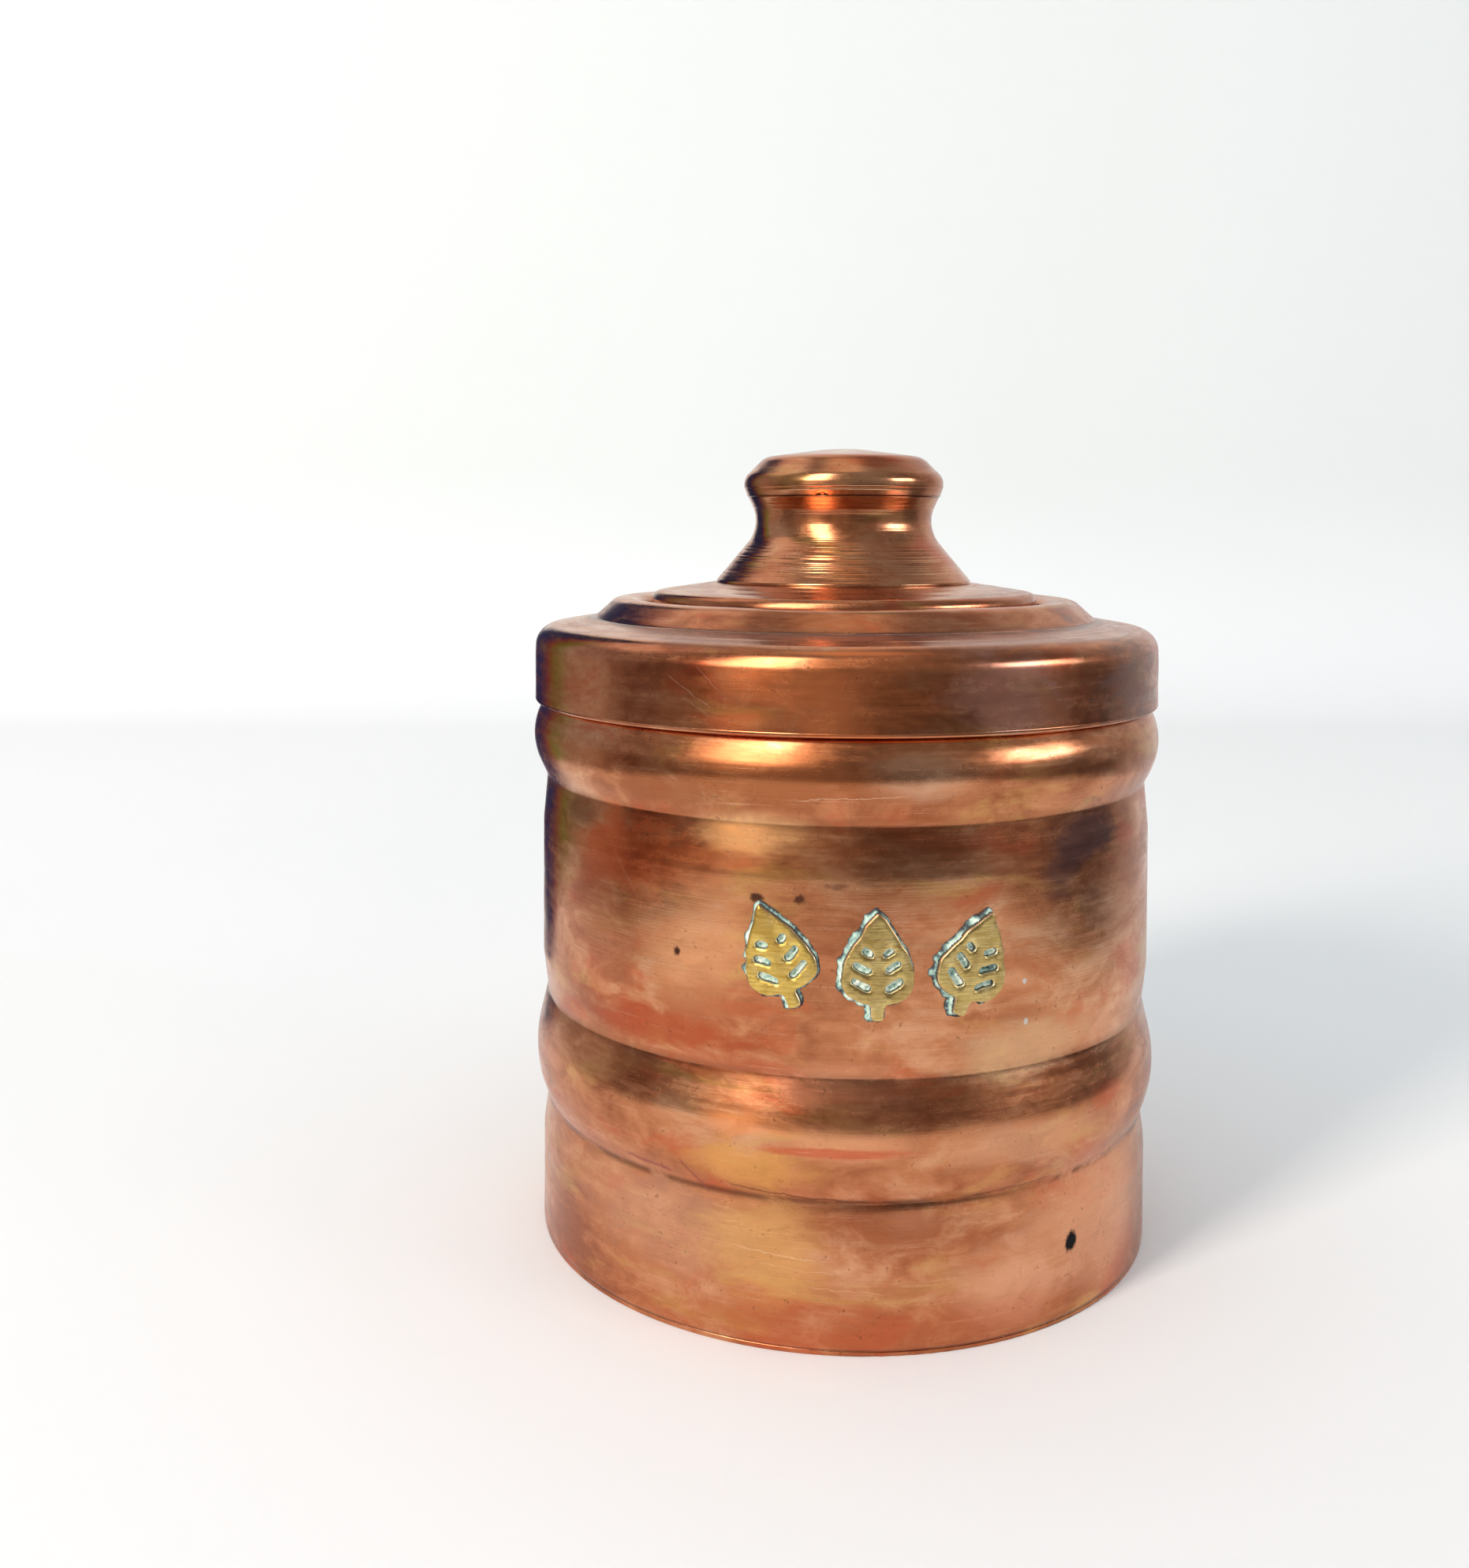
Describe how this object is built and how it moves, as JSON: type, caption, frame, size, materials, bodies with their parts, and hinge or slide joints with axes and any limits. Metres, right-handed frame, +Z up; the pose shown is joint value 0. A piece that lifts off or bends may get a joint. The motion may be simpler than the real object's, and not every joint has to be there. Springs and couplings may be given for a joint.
{
  "type": "tea caddy",
  "caption": "Small round copper tea caddy with beaded wall, slip-on stepped lid with a hollow waisted knob, and applied brass leaves.",
  "frame": {"origin": "centre of the base plate's underside, on the surface the caddy stands on", "axes": "+Z up along the caddy's axis, -Y towards the side with the leaves"},
  "size_m": [0.0802, 0.0802, 0.0988],
  "materials": {
    "copper_wall": "brushed, mottled orange-brown copper patina",
    "copper_lid": "polished copper, darker brown patina",
    "leaf_brass": "brushed face, bright bevelled edge",
    "solder": "dull solder with blue-green corrosion",
    "stud_steel": "plain plated steel"
  },
  "bodies": {
    "body": {"base_plate": "copper_wall", "body_wall": "copper_wall", "leaf_solder": "solder", "leaf_left": "leaf_brass", "leaf_middle": "leaf_brass", "leaf_right": "leaf_brass"},
    "lid": {"lid_shell": "copper_lid", "dome_plate": "copper_lid", "knob_neck": "copper_lid", "knob_cap": "copper_lid", "knob_stud": "stud_steel", "stud_washer": "stud_steel", "stud_nut": "stud_steel"}
  },
  "joints": [
    {"name": "lid_lift", "type": "slide", "parent": "body", "child": "lid", "axis": [0, 0, 1], "range_m": [0, 0.12]}
  ]
}
